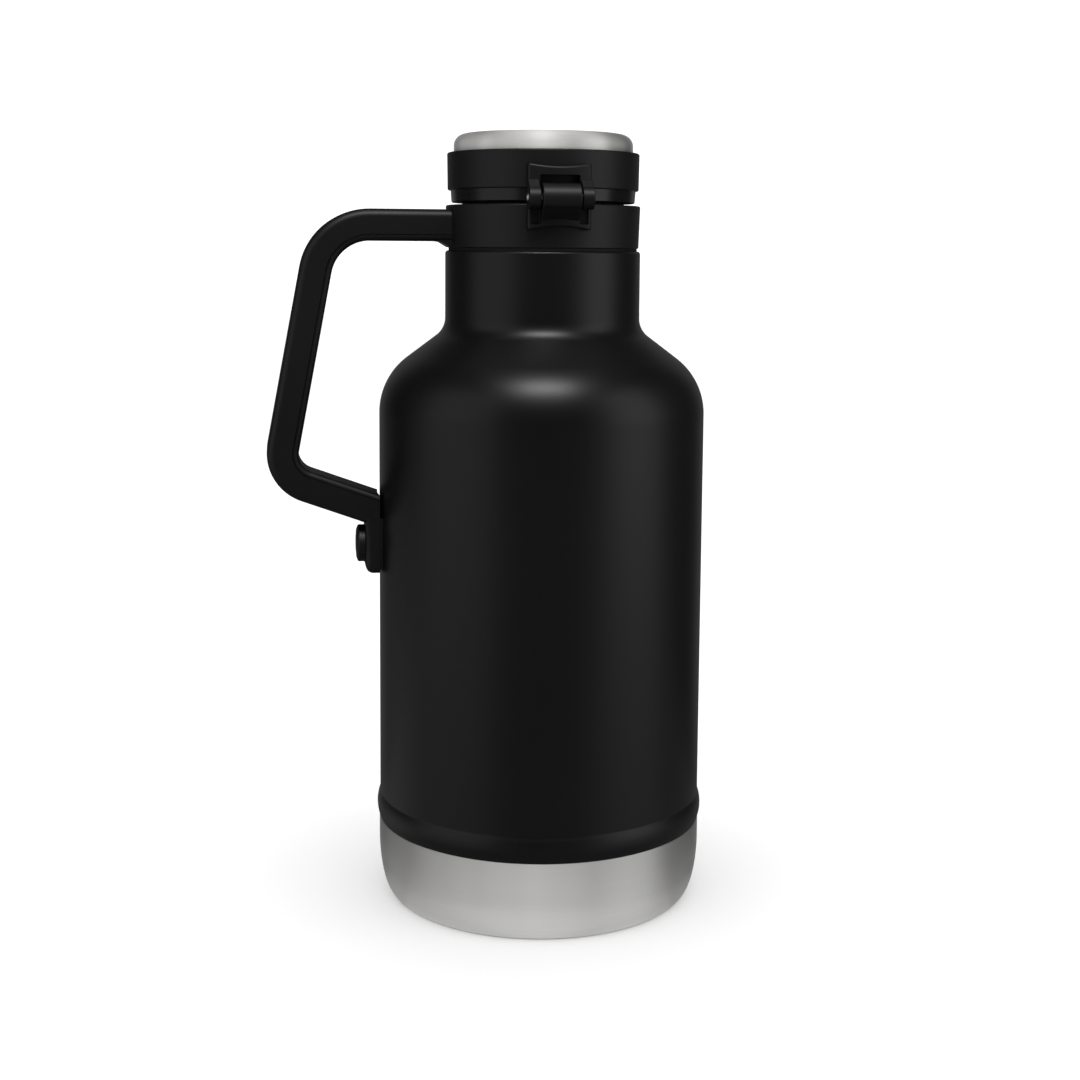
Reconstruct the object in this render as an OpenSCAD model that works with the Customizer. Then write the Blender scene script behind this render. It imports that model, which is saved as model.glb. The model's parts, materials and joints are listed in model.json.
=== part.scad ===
// Vacuum growler with a hinged, latched lid and a side handle, in millimetres.
// The origin is the centre of the base on the body's axis, +Z is up, the handle
// points along -X, the lid hinge is on the -Y side and the latch on the +Y side.

/* [Body] */
// Outer radius of the straight part of the body
body_r = 63.2; // [61:0.1:65]
// Outer radius of the neck
neck_r = 37.7; // [37:0.1:38.5]
// Height where the straight wall ends and the shoulder begins
shoulder_z = 190; // [185:0.1:195]
// Angle of the shoulder cone below the horizontal
shoulder_angle = 37; // [34:0.5:39]
// Radius of the rounding between wall and shoulder
shoulder_r = 26.6; // [22:0.1:28]
// Radius of the fillet between shoulder and neck
neck_fillet_r = 8.7; // [7:0.1:11]
// Height of the top edge of the neck
neck_top_z = 252.6; // [251:0.1:253]
// Sheet thickness of the outer shell
shell_t = 0.8; // [0.6:0.1:1]
// Sheet thickness of the inner vessel
vessel_t = 0.7; // [0.5:0.1:0.9]
// Outer radius of the inner vessel
vessel_r = 56.6; // [55:0.1:57.5]

/* [Base] */
// Height of the seam between the shell and the bare base
seam_z = 30.6; // [29:0.1:32]
// Outer radius of the base cup
base_r = 63.5; // [63.4:0.1:63.8]
// Height where the base cup's wall starts to round in
base_curve_z = 22.4; // [18:0.1:25]
// How far the base cup rounds in at its foot
base_curve_in = 6; // [4:0.1:8]
// How far the bead above the seam stands proud of the shell
bead_proud = 1.1; // [0.8:0.1:1.4]

/* [Collar and handle] */
// Outer radius of the collar
collar_r = 37.3; // [36.8:0.1:37.6]
// Height of the top of the collar
collar_top_z = 269.8; // [269:0.1:270]
// Radius of the opening in the collar
collar_mouth_r = 32.2; // [32:0.1:32.6]
// Thickness of the handle in its own plane
handle_t = 12.1; // [11:0.1:13]
// Width of the handle across its plane
handle_w = 18.5; // [16:0.5:20]
// Reach of the handle's upper corner from the body's axis
handle_top_x = 84.2; // [80:0.1:88]
// Reach of the handle's lower corner from the body's axis
handle_low_x = 102.1; // [98:0.1:106]
// Height of the handle's upper arm
handle_top_z = 262; // [261:0.1:262.4]
// Height of the handle's lower corner
handle_low_z = 166.6; // [160:0.1:168]
// Height of the screw that holds the handle's lower end
handle_screw_z = 139.5; // [138:0.5:141]

/* [Lid] */
// Outer radius of the lid ring
lid_r = 36.9; // [36.6:0.1:37.4]
// Height of the underside of the lid ring
lid_ring_z = 275.5; // [275.2:0.1:275.8]
// Height of the top edge of the lid ring
lid_ring_top_z = 289.7; // [289:0.1:291]
// Outer radius of the steel cap
cap_r = 34.5; // [34.2:0.1:34.8]
// Height of the top of the steel cap
cap_top_z = 297; // [296:0.1:299]
// Radius of the rounding at the top of the steel cap
cap_round = 4.4; // [3:0.1:5]
// Radius of the plug that closes the mouth
plug_r = 30.2; // [29.8:0.1:30.4]
// Distance of the hinge axis behind the body's axis
hinge_y = 41.5; // [41.3:0.1:41.8]
// Height of the hinge axis
hinge_z = 271.8; // [271.6:0.1:272.2]
// Radius of the hinge pin
hinge_pin_r = 1.5; // [1.3:0.1:1.7]

/* [Latch] */
// Distance of the lever's pivot in front of the body's axis
lever_y = 43; // [42.8:0.1:43.4]
// Height of the lever's pivot
lever_z = 258; // [257.5:0.1:258.5]
// Angle by which the released lever stands up from its closed position
lever_open = 150; // [140:1:150]
// Length of the lever below its pivot
lever_len = 30; // [26:1:32]
// Length of the bail from its pivot to its bar
bail_len = 32; // [31.8:0.1:32.1]
// Radius of the bail's wire
wire_r = 1.1; // [1:0.05:1.2]

/* [Hidden] */
$fn = 128;

eps = 0.01;
arc_steps = 12;
black = [0.07, 0.07, 0.07];
charcoal = [0.12, 0.12, 0.12];
steel = [0.72, 0.72, 0.71];
dark_steel = [0.5, 0.5, 0.5];
foam = [0.9, 0.86, 0.7];
silicone = [0.3, 0.3, 0.3];

// neck finish above the shoulder of the neck
finish_r = 33.6;
finish_top_z = 265.8;
rim_t = 0.8;
mouth_r = 31.5;
snap_r = 34.5;
snap_z = 258;
neck_edge_r = 1.2;
gasket_t = 1;

// base
bead_z = 35.3;
bead_half = 5;
bead_arc_r = (bead_half * bead_half + bead_proud * bead_proud) / (2 * bead_proud);
base_t = 0.8;
groove_r1 = 46;
groove_r2 = 52;
groove_d = 0.8;
pan_r = 60.6;
pan_z = 5.5;
pan_t = 0.8;
pan_top_z = 36;
pan_corner_r = 5;
vessel_bottom_z = 15;
vessel_corner_r = 14;

// handle
handle_bend_top = 20.8;
handle_bend_low = 13.4;
handle_slope = 19.7;
tab_gap = 1.1;
tab_x = 69.9;
tab_low_z = 128.8;
tab_top_z = 150;
tab_round = 3;
screw_r = 2.5;
screw_head_r = 4.3;
screw_head_x = 67.2;
screw_head_t = 1.7;
stud_r = 5;
stud_x = 66.2;
screw_cap_r = 7.2;
screw_cap_x = 72.6;

// hinge
knuckle_x = 7.1;
ear_x = 7.6;
ear_end_x = 12;
knuckle_r = 5.3;
ear_r = 4.2;
leaf_x = 11.8;
leaf_r = 40.6;
leaf_top_z = 284.5;
leaf_dip = 1.2;
window_x = 7.4;
window_top_z = 280.2;
boss_low_z = 260.2;
boss_top_z = 268.5;
slot_x = 7.2;
slot_w = 3.5;
slot_low_z = 262.3;
slot_y = 38.3;
run_gap = 0.06;

// lid
ring_in_r = cap_r + 0.05;
ring_floor_t = 2;
ring_hole_r = 29;
skirt_low_z = 270.8;
skirt_low_r = 35.3;
skirt_top_r = 35.65;
plug_tube_r = 29.4;
plug_tube_t = 1.2;
plug_low_z = 262.8;
liner_low_z = 259.6;
liner_t = 0.7;
liner_top_z = 266;
liner_corner_r = 3;
cap_t = 0.8;
lid_screw_ring_r = 31.5;

// latch
lever_w = 8.2;
lever_t = 1.2;
lever_web_y = 4.2;
lug_x = 6;
lug_r = 3;
latch_pin_r = 1.25;
bail_offset = [-1, -5.4];
bail_leg_x = 10.6;
bail_bend = 2.2;
bail_corner = 3.2;
bail_tilt = -2;
catch_y = 37.3;
catch_w = 7;
catch_t = 1;
catch_z = 282.8;
catch_screw_x = 3.5;
catch_screw_z = 278.2;
catch_screw_r = 0.9;
catch_reach = 42.2;

function arc(c, r, a0, a1, n = arc_steps) =
  [for (i = [0:n]) c + r * [cos(a0 + (a1 - a0) * i / n), sin(a0 + (a1 - a0) * i / n)]];
function reversed(v) = [for (i = [len(v) - 1:-1:0]) v[i]];
function unit(v) = v / norm(v);
function left(v) = [-v.y, v.x];
function turned(v, a) = [v.x * cos(a) - v.y * sin(a), v.x * sin(a) + v.y * cos(a)];

// Shoulder of a bottle: straight wall, round, cone, fillet and neck, from below.
function shoulder_neck_z(rb, rn, z0, r1, r2) =
  let (a = 90 - shoulder_angle,
       dr = (rb - r1 * (1 - cos(a))) - (rn + r2 * (1 - cos(a))))
  z0 + r1 * sin(a) + dr * tan(shoulder_angle) + r2 * sin(a);
function shoulder(rb, rn, z0, r1, r2) =
  let (a = 90 - shoulder_angle, zf = shoulder_neck_z(rb, rn, z0, r1, r2))
  concat(arc([rb - r1, z0], r1, 0, a),
         reversed(arc([rn + r2, zf], r2, 180, 180 + a)));

module ring(r_in, r_out, z0, z1) {
  rotate_extrude() translate([r_in, z0]) square([r_out - r_in, z1 - z0]);
}

module along_x(x0, x1, r, y, z) {
  translate([x0, y, z]) rotate([0, 90, 0]) cylinder(h = x1 - x0, r = r);
}

// ---------- body ----------
function bead(r, grow) =
  let (c = [r + bead_proud - bead_arc_r, bead_z],
       a1 = acos((bead_arc_r - bead_proud) / bead_arc_r),
       a0 = asin((seam_z - bead_z) / bead_arc_r))
  arc(c, bead_arc_r + grow, a0, a1);

module body_shell() {
  ri = body_r - shell_t;
  outer = concat(
    bead(body_r, 0),
    shoulder(body_r, neck_r, shoulder_z, shoulder_r, neck_fillet_r),
    arc([neck_r - neck_edge_r, neck_top_z - neck_edge_r], neck_edge_r, 0, 90, 6),
    [[finish_r, neck_top_z], [finish_r, snap_z - 1.4], [snap_r, snap_z - 0.5],
     [snap_r, snap_z + 0.5], [finish_r, snap_z + 1.4], [finish_r, finish_top_z]]);
  inner = concat(
    bead(body_r, -shell_t),
    shoulder(ri, neck_r - shell_t, shoulder_z, shoulder_r - shell_t, neck_fillet_r + shell_t),
    [[neck_r - shell_t, neck_top_z - shell_t], [finish_r - shell_t, neck_top_z - shell_t],
     [finish_r - shell_t, finish_top_z]]);
  color(black) rotate_extrude() polygon(concat(outer, reversed(inner)));
}

function cup_side(r, z, a, b, n) =
  [for (i = [0:n]) [r - a + a * cos(90 * i / n), z - b * sin(90 * i / n)]];

module base_cup() {
  outer = cup_side(base_r, base_curve_z, base_curve_in, base_curve_z, 20);
  inner = cup_side(base_r - base_t, base_curve_z, base_curve_in, base_curve_z - base_t, 20);
  color(steel) rotate_extrude() polygon(concat(
    [[base_r, seam_z]], outer,
    [[groove_r2, 0], [groove_r2 - groove_d, groove_d], [groove_r1 + groove_d, groove_d],
     [groove_r1, 0], [0, 0], [0, base_t], [groove_r1 - 0.4, base_t],
     [groove_r1 + 0.4, base_t + groove_d], [groove_r2 - 0.4, base_t + groove_d],
     [groove_r2 + 0.4, base_t]],
    reversed(inner), [[base_r - base_t, seam_z]]));
}

module jacket_bottom() {
  c = [pan_r - pan_corner_r, pan_z + pan_corner_r];
  flange_r = body_r - shell_t - 0.02;
  color(steel) difference() {
    rotate_extrude() polygon(concat(
      [[0, pan_z]], arc(c, pan_corner_r, -90, 0),
      [[pan_r, pan_top_z], [flange_r + 0.4, pan_top_z + 2], [flange_r + 0.4, pan_top_z + 2 + pan_t],
       [pan_r - pan_t, pan_top_z + pan_t]],
      reversed(arc(c, pan_corner_r - pan_t, -90, 0)), [[0, pan_z + pan_t]]));
    translate([0, 0, pan_z - 1]) cylinder(h = pan_t + 2, r = 1.5);
  }
}

module vessel_profile(grow) {
  rb = vessel_r - grow;
  rn = mouth_r + vessel_t - grow;
  c = [vessel_r - vessel_corner_r, vessel_bottom_z + vessel_corner_r];
  polygon(concat(
    [[0, vessel_bottom_z + grow]],
    arc(c, vessel_corner_r - grow, -90, 0),
    shoulder(rb, rn, shoulder_z - 2.6, shoulder_r - 3 - grow, neck_fillet_r + 2.5 + grow),
    [[rn, finish_top_z + rim_t], [0, finish_top_z + rim_t]]));
}

module inner_vessel() {
  color(steel) rotate_extrude() {
    difference() {
      vessel_profile(0);
      vessel_profile(vessel_t);
      translate([-1, finish_top_z]) square([mouth_r + 1, 5]);
    }
    translate([mouth_r, finish_top_z]) square([finish_r - mouth_r, rim_t]);
  }
}

module getter() {
  color(dark_steel) translate([25, 0, pan_z + pan_t]) difference() {
    cylinder(h = 2.5, r = 6);
    translate([0, 0, 1]) cylinder(h = 2, r = 4.8);
  }
}

module vacuum_plug() {
  color(dark_steel) {
    translate([0, 0, pan_z - 1.3]) cylinder(h = 1.3, r1 = 2.6, r2 = 3.4);
    translate([0, 0, pan_z - eps]) cylinder(h = pan_t, r = 1.48);
  }
}

// ---------- collar and handle ----------
module collar_gasket() {
  color(silicone) ring(finish_r + 0.2, 36.4, neck_top_z, neck_top_z + gasket_t);
}

// One side of the handle's band, at distance d to the left of its centre line.
function bend_side(p, u0, u1, r, d) =
  let (turn = acos(u0 * u1),
       c = p - r * tan(turn / 2) * u0 - r * left(u0),
       a0 = atan2(left(u0).y, left(u0).x))
  arc(c, r + d, a0, a0 - turn, 14);
function handle_side(d) =
  let (c1 = [handle_top_x, handle_top_z],
       c2 = [handle_low_x, handle_low_z],
       u0 = [1, 0],
       u1 = unit(c2 - c1),
       u2 = [-cos(handle_slope), -sin(handle_slope)],
       end = c2 + u2 * (handle_low_x - 61) / cos(handle_slope))
  concat([[34, handle_top_z + d]],
         bend_side(c1, u0, u1, handle_bend_top, d),
         bend_side(c2, u1, u2, handle_bend_low, d),
         [end + d * left(u2)]);

module handle_outline() {
  polygon(concat(handle_side(handle_t / 2), reversed(handle_side(-handle_t / 2))));
  low = handle_top_z - handle_t / 2;
  end = neck_top_z + gasket_t + 0.2;
  polygon([[34, low + 1], [41.4, low + 1], [41.4, low], [38, end], [34, end]]);
  polygon(concat([[61, tab_top_z + 4], [61, tab_low_z]],
    arc([tab_x - tab_round, tab_low_z + tab_round], tab_round, -90, 0, 6),
    [[tab_x, tab_top_z], [tab_x - 1, tab_top_z + 3]]));
}

module hinge_boss_outline() {
  difference() {
    translate([-leaf_x, boss_low_z]) square([2 * leaf_x, boss_top_z - boss_low_z]);
    translate([0, boss_low_z - 40]) circle(r = 41.4);
  }
}

module collar_handle() {
  low = neck_top_z + gasket_t;
  color(charcoal) difference() {
    union() {
      rotate_extrude() polygon([
        [finish_r + 0.3, low], [collar_r - 0.3, low], [collar_r, low + 0.4],
        [collar_r + 0.2, collar_top_z - 0.7], [collar_r - 0.5, collar_top_z],
        [collar_mouth_r, collar_top_z], [collar_mouth_r, collar_top_z - 2.2],
        [finish_r + 0.3, collar_top_z - 2.2], [finish_r + 0.3, snap_z + 1.8],
        [snap_r + 0.3, snap_z + 0.7], [snap_r + 0.3, snap_z - 0.7],
        [finish_r + 0.3, snap_z - 1.8]]);
      translate([0, handle_w / 2, 0]) rotate([90, 0, 0]) mirror([1, 0, 0])
        linear_extrude(handle_w) handle_outline();
      // hinge boss with its knuckle
      intersection() {
        translate([0, -34, 0]) rotate([90, 0, 0]) linear_extrude(9) hinge_boss_outline();
        cylinder(h = 300, r = leaf_r);
      }
      along_x(-knuckle_x, knuckle_x, knuckle_r, -hinge_y, hinge_z);
      translate([-knuckle_x, 0, 0]) rotate([90, 0, 90]) linear_extrude(2 * knuckle_x)
        polygon([[-36.6, 262.2], [-38.5, 262.2], [-hinge_y - knuckle_r * 0.8, hinge_z - knuckle_r * 0.6],
                 [-hinge_y, hinge_z], [-36.6, collar_top_z]]);
      // latch lug
      along_x(-lug_x, lug_x, lug_r, lever_y, lever_z);
      translate([-lug_x, 0, 0]) rotate([90, 0, 90]) linear_extrude(2 * lug_x)
        polygon([[35, lever_z - 4.2], [lever_y, lever_z - lug_r], [lever_y, lever_z + lug_r],
                 [35, lever_z + lug_r]]);
    }
    // inside of the collar
    translate([0, 0, low - 1]) cylinder(h = snap_z - 1.8 - low + 1, r = finish_r + 0.3);
    rotate_extrude() polygon([
      [0, snap_z - 2], [finish_r + 0.3, snap_z - 2], [finish_r + 0.3, snap_z - 1.8],
      [snap_r + 0.3, snap_z - 0.7], [snap_r + 0.3, snap_z + 0.7],
      [finish_r + 0.3, snap_z + 1.8], [finish_r + 0.3, collar_top_z - 2.2],
      [collar_mouth_r, collar_top_z - 2.2], [collar_mouth_r, 300], [0, 300]]);
    // clearance of the body behind the handle's lower end
    translate([0, 0, 100]) cylinder(h = 100, r = body_r + tab_gap);
    // clearance of the lid's skirt and ears
    for (s = [-1, 1])
      along_x(s > 0 ? ear_x - 0.3 : -ear_end_x - 0.3, s > 0 ? ear_end_x + 0.3 : -ear_x + 0.3,
              ear_r + 0.5, -hinge_y, hinge_z);
    difference() {
      translate([0, 0, collar_top_z]) cylinder(h = 9, r = skirt_top_r + 0.4);
      translate([0, 0, collar_top_z - 1]) cylinder(h = 11, r = collar_mouth_r);
    }
    // recesses of the hinge boss below the ears
    for (s = [-1, 1])
      translate([s > 0 ? slot_x : -slot_x - slot_w, -leaf_r - 1, slot_low_z])
        cube([slot_w, leaf_r + 1 - slot_y, boss_top_z - slot_low_z + 1]);
    along_x(-20, 20, hinge_pin_r + run_gap, -hinge_y, hinge_z);
    along_x(-20, 20, latch_pin_r, lever_y, lever_z);
    // stud pocket, screw hole and counterbore in the lower end
    along_x(-stud_x - 0.3, -60, stud_r + 0.3, 0, handle_screw_z);
    along_x(-screw_head_x - eps, -60, screw_r + 0.3, 0, handle_screw_z);
    along_x(-tab_x - 1, -screw_head_x, screw_head_r + 0.3, 0, handle_screw_z);
  }
}

module handle_pad() {
  color(silicone) difference() {
    intersection() {
      ring(body_r + 0.02, body_r + tab_gap - 0.02, tab_low_z + 1.4, tab_top_z);
      translate([-80, -handle_w / 2 + 0.8, 100]) cube([40, handle_w - 1.6, 80]);
    }
    along_x(-80, -50, stud_r + 0.3, 0, handle_screw_z);
  }
}

module handle_stud() {
  color(steel) difference() {
    along_x(-stud_x, -60, stud_r, 0, handle_screw_z);
    translate([0, 0, 100]) cylinder(h = 80, r = body_r);
    along_x(-80, -50, screw_r, 0, handle_screw_z);
  }
}

module handle_screw() {
  color(steel) difference() {
    union() {
      along_x(-screw_head_x - eps, -body_r - 0.4, screw_r, 0, handle_screw_z);
      along_x(-screw_head_x - screw_head_t, -screw_head_x, screw_head_r, 0, handle_screw_z);
    }
    translate([-screw_head_x - screw_head_t - 1, 0, handle_screw_z]) rotate([0, 90, 0])
      cylinder(h = 2.2, r = 1.9, $fn = 6);
  }
}

module screw_cap() {
  color(charcoal) translate([0, 0, handle_screw_z]) rotate([0, -90, 0]) rotate_extrude()
    polygon([[0, screw_head_x + screw_head_t + 0.2], [screw_head_r, screw_head_x + screw_head_t + 0.2],
             [screw_head_r, tab_x], [screw_cap_r, tab_x], [screw_cap_r, screw_cap_x - 1.4],
             [screw_cap_r - 1.4, screw_cap_x], [0, screw_cap_x]]);
}

// ---------- lid ----------
module leaf_outline() {
  difference() {
    translate([-leaf_x, hinge_z]) square([2 * leaf_x, leaf_top_z - hinge_z]);
    translate([0, leaf_top_z + 58]) circle(r = 58 + leaf_dip);
    translate([-window_x, hinge_z - 1]) square([2 * window_x, window_top_z - hinge_z + 1]);
  }
}

module catch_screw_holes() {
  for (s = [-1, 1]) translate([s * catch_screw_x, 30, catch_screw_z]) rotate([-90, 0, 0])
    cylinder(h = 10, r = catch_screw_r);
}

module lid_ring() {
  floor_z = lid_ring_z + ring_floor_t;
  color(charcoal) difference() {
    union() {
      rotate_extrude() polygon([
        [ring_hole_r, lid_ring_z], [lid_r - 0.7, lid_ring_z], [lid_r - 0.1, lid_ring_z + 0.6],
        [lid_r + 0.1, lid_ring_top_z - 0.7], [lid_r - 0.5, lid_ring_top_z],
        [ring_in_r, lid_ring_top_z], [ring_in_r, floor_z], [ring_hole_r, floor_z]]);
      // raised hinge leaf, held clear of the collar's knuckle
      difference() {
        intersection() {
          translate([0, -34, 0]) rotate([90, 0, 0]) linear_extrude(9) leaf_outline();
          cylinder(h = 320, r = leaf_r);
        }
        cylinder(h = 320, r = ring_in_r + 0.5);
        translate([-20, -60, 0]) cube([40, 60, lid_ring_z + 1]);
      }
      for (s = [-1, 1]) {
        x0 = s > 0 ? ear_x : -ear_end_x;
        along_x(x0, x0 + ear_end_x - ear_x, ear_r, -hinge_y, hinge_z);
        translate([x0, 0, 0]) rotate([90, 0, 90]) linear_extrude(ear_end_x - ear_x)
          polygon([[-hinge_y - ear_r * 0.9, hinge_z + ear_r * 0.43], [-leaf_r + 1.2, lid_ring_z + 4.2],
                   [-36.2, lid_ring_z + 4.2], [-36.2, lid_ring_z + 0.3], [-hinge_y + 2, hinge_z]]);
      }
      // flat pad that carries the catch
      translate([-catch_w - 1.5, 35.6, lid_ring_z + 0.8])
        cube([2 * catch_w + 3, catch_y - 35.6, 7.6]);
    }
    for (s = [-1, 1])
      along_x(s > 0 ? ear_x - 1 : -ear_end_x - 1, s > 0 ? ear_end_x + 1 : -ear_x + 1,
              hinge_pin_r, -hinge_y, hinge_z);
    for (a = [30, 150, 270]) translate([0, 0, lid_ring_z - 1]) rotate([0, 0, a])
      translate([lid_screw_ring_r, 0, 0]) cylinder(h = 4, r = 1.3);
    catch_screw_holes();
  }
}

module lid_cap() {
  floor_z = lid_ring_z + ring_floor_t;
  c = [cap_r - cap_round, cap_top_z - cap_round];
  color(steel) rotate_extrude() polygon(concat(
    [[cap_r, floor_z]], arc(c, cap_round, 0, 90),
    [[0, cap_top_z], [0, cap_top_z - cap_t]],
    reversed(arc(c, cap_round - cap_t, 0, 90)), [[cap_r - cap_t, floor_z]]));
}

module lid_skirt() {
  color(black) difference() {
    rotate_extrude() polygon([
      [plug_tube_r - plug_tube_t, plug_low_z], [plug_tube_r, plug_low_z],
      [plug_tube_r, skirt_low_z], [skirt_low_r - 0.3, skirt_low_z],
      [skirt_low_r, skirt_low_z + 0.3], [skirt_top_r, lid_ring_z],
      [plug_tube_r - plug_tube_t, lid_ring_z]]);
    for (a = [30, 150, 270]) translate([0, 0, skirt_low_z + 1]) rotate([0, 0, a])
      translate([lid_screw_ring_r, 0, 0]) cylinder(h = 6, r = 1.25);
  }
}

module lid_liner() {
  c = [plug_r - liner_corner_r, liner_low_z + liner_corner_r];
  color(steel) rotate_extrude() polygon(concat(
    [[0, liner_low_z]], arc(c, liner_corner_r, -90, 0),
    [[plug_r, liner_top_z], [plug_r - liner_t, liner_top_z]],
    reversed(arc(c, liner_corner_r - liner_t, -90, 0)), [[0, liner_low_z + liner_t]]));
}

module lid_insulation() {
  low = lid_ring_z + ring_floor_t + 2.2;
  color(foam) ring(0, cap_r - cap_t - 0.4, low, low + 7);
}

module lid_gasket() {
  color(silicone) rotate_extrude() polygon([
    [plug_r + 0.05, 266.95], [31.2, 266.95], [31.6, 267.4], [31.6, skirt_low_z],
    [plug_tube_r, skirt_low_z], [plug_tube_r, liner_top_z + 0.1], [plug_r + 0.05, liner_top_z + 0.1]]);
}

module lid_screws() {
  floor_z = lid_ring_z + ring_floor_t;
  color(dark_steel) for (a = [30, 150, 270]) rotate([0, 0, a])
    translate([lid_screw_ring_r, 0, 0]) difference() {
      union() {
        translate([0, 0, skirt_low_z + 1.2]) cylinder(h = floor_z - skirt_low_z - 1.2, r = 1.25);
        translate([0, 0, floor_z]) cylinder(h = 1.8, r = 2);
      }
      translate([0, 0, floor_z + 0.8]) cylinder(h = 2, r = 0.9, $fn = 6);
    }
}

module lid_catch() {
  low = lid_ring_z + 1.2;
  color(steel) difference() {
    translate([-catch_w, 0, 0]) rotate([90, 0, 90]) linear_extrude(2 * catch_w)
      polygon([[catch_y, low], [catch_y + catch_t, low], [catch_y + catch_t, catch_z - 2.6],
               [catch_y + 2.2, catch_z - 1.4], [catch_reach - 0.6, catch_z - 1.4],
               [catch_reach, catch_z - 0.8], [catch_reach, catch_z + 0.2],
               [catch_reach - 0.5, catch_z + 0.3], [catch_reach - 1.4, catch_z],
               [catch_y, catch_z]]);
    catch_screw_holes();
  }
}

module catch_screws() {
  low = 35.2;
  face = catch_y + catch_t;
  color(dark_steel) for (s = [-1, 1])
    translate([s * catch_screw_x, 0, catch_screw_z]) rotate([-90, 0, 0]) {
      translate([0, 0, low]) cylinder(h = face - low + eps, r = catch_screw_r);
      translate([0, 0, face]) cylinder(h = 0.8, r1 = 1.7, r2 = 1.3);
    }
}

module hinge_pin() {
  color(steel) translate([0, -hinge_y, hinge_z]) rotate([0, 90, 0]) rotate_extrude()
    polygon([[0, -12.6], [hinge_pin_r - 0.4, -12.6], [hinge_pin_r, -12.2], [hinge_pin_r, 12.2],
             [hinge_pin_r - 0.4, 12.6], [0, 12.6]]);
}

// ---------- latch ----------
module latch_pin() {
  end = lever_w + 0.6;
  color(steel) along_x(-end, end, latch_pin_r, lever_y, lever_z);
}

// The lever in its closed position, with its pivot at the origin.
module lever_closed() {
  difference() {
    union() {
      for (s = [-1, 1]) translate([s > 0 ? lever_w - lever_t : -lever_w, 0, 0])
        rotate([90, 0, 90]) linear_extrude(lever_t) {
          circle(r = 3.3);
          translate(bail_offset) circle(r = 2.8);
          polygon([[-3.25, 0.6], [-3.76, -5.9], [3.5, -21], [lever_web_y + lever_t, -21],
                   [lever_web_y + lever_t, -3], [3.1, 1.1]]);
        }
      translate([-lever_w, 0, 0]) rotate([90, 0, 90]) linear_extrude(2 * lever_w)
        polygon([[lever_web_y, -3], [lever_web_y + lever_t, -3], [lever_web_y + lever_t, -21],
                 [lever_web_y + 2.2, -25], [lever_web_y + 4.6, -lever_len],
                 [lever_web_y + 3.6, -lever_len - 0.6], [lever_web_y + 1, -25.4],
                 [lever_web_y, -21.4]]);
    }
    along_x(-20, 20, latch_pin_r + 0.05, 0, 0);
    along_x(-20, 20, wire_r + run_gap, bail_offset.x, bail_offset.y);
  }
}

module latch_lever() {
  color(steel) translate([0, lever_y, lever_z]) rotate([lever_open, 0, 0]) lever_closed();
}

// A bent wire from its two pivots up to the bar that drops over the catch.
module bail_upright() {
  for (s = [0, 1]) mirror([s, 0, 0]) {
    along_x(6.4, bail_leg_x - bail_bend, wire_r, 0, 0);
    translate([bail_leg_x - bail_bend, 0, bail_bend]) rotate([90, 0, 0])
      rotate([0, 0, -90]) rotate_extrude(angle = 90) translate([bail_bend, 0]) circle(r = wire_r);
    translate([bail_leg_x, 0, bail_bend])
      cylinder(h = bail_len - bail_bend - bail_corner, r = wire_r);
    translate([bail_leg_x - bail_corner, 0, bail_len - bail_corner]) rotate([90, 0, 0])
      rotate_extrude(angle = 90) translate([bail_corner, 0]) circle(r = wire_r);
  }
  reach = bail_leg_x - bail_corner;
  along_x(-reach, reach, wire_r, 0, bail_len);
}

module latch_bail() {
  p = [lever_y, lever_z] + turned(bail_offset, lever_open);
  color(steel) translate([0, p.x, p.y]) rotate([bail_tilt, 0, 0]) bail_upright();
}

body_shell();
base_cup();
jacket_bottom();
inner_vessel();
getter();
vacuum_plug();
collar_gasket();
collar_handle();
handle_pad();
handle_stud();
handle_screw();
screw_cap();
lid_ring();
lid_cap();
lid_skirt();
lid_liner();
lid_insulation();
lid_gasket();
lid_screws();
lid_catch();
catch_screws();
hinge_pin();
latch_pin();
latch_lever();
latch_bail();
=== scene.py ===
"""A vacuum growler with a hinged, latched lid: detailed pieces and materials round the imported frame.

Lengths in the design sections are millimetres on the part's own axes: Z up from the foot, the
handle towards -X, the lid hinge towards -Y and the latch towards +Y. Meshes are made in metres.
"""

import json
from math import acos, asin, atan2, cos, degrees, pi, radians, sin, sqrt, tan

import bmesh
import bpy
from mathutils import Matrix, Vector

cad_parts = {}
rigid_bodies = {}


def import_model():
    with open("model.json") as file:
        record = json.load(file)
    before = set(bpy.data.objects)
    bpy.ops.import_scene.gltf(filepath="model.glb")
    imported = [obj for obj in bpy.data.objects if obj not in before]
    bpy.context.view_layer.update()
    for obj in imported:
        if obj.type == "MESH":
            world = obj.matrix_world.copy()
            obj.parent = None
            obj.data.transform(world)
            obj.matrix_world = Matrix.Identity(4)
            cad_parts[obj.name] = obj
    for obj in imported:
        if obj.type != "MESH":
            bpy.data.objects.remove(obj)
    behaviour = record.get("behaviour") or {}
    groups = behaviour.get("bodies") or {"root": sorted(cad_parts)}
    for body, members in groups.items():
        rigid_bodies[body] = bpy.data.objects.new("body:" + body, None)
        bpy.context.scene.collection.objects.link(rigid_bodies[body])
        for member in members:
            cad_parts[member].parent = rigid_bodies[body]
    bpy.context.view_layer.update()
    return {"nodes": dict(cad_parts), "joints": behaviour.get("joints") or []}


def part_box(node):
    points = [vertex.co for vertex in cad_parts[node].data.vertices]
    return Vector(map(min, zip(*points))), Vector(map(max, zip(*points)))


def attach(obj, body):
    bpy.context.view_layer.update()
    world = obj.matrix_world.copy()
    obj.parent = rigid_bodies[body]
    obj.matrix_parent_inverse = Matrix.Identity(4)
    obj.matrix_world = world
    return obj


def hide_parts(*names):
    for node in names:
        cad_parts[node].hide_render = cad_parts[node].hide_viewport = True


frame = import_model()

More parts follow.
